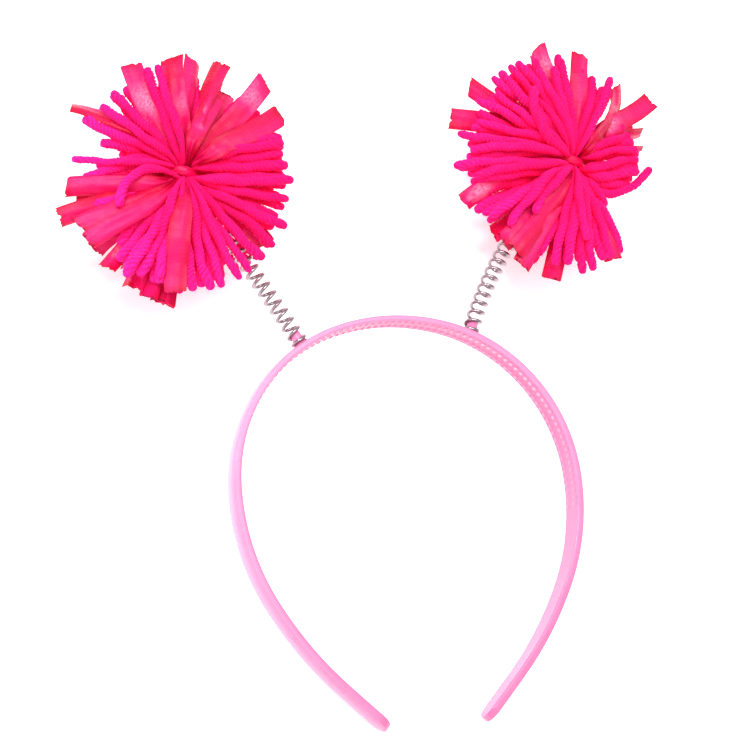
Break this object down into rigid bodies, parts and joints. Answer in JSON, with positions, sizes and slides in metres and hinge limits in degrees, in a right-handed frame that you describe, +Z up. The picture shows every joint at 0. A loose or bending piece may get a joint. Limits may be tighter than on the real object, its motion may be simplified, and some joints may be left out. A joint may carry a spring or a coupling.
{
  "type": "pompom headband",
  "caption": "Horseshoe plastic headband with inner grip nubs and a yarn and ribbon pompom on a wire coil spring at each side of the crown.",
  "frame": {"origin": "bottom centre of the box round the headband, on the surface that it lies on", "axes": "+X to the right tip's side, +Y from the tips to the crown and the pompoms, +Z up from the surface, across the band's width"},
  "size_m": [0.2196, 0.233, 0.0423],
  "materials": {
    "band_plastic": "glossy pale pink moulding",
    "spring_steel": "bright drawn wire",
    "yarn": "plied acrylic yarn",
    "ribbon": "coral satin"
  },
  "bodies": {
    "root": {"band": "band_plastic", "spring_left": "spring_steel", "spring_right": "spring_steel", "pompom_left": "yarn", "pompom_right": "yarn", "tie_left": "ribbon", "tie_right": "ribbon"}
  },
  "joints": []
}
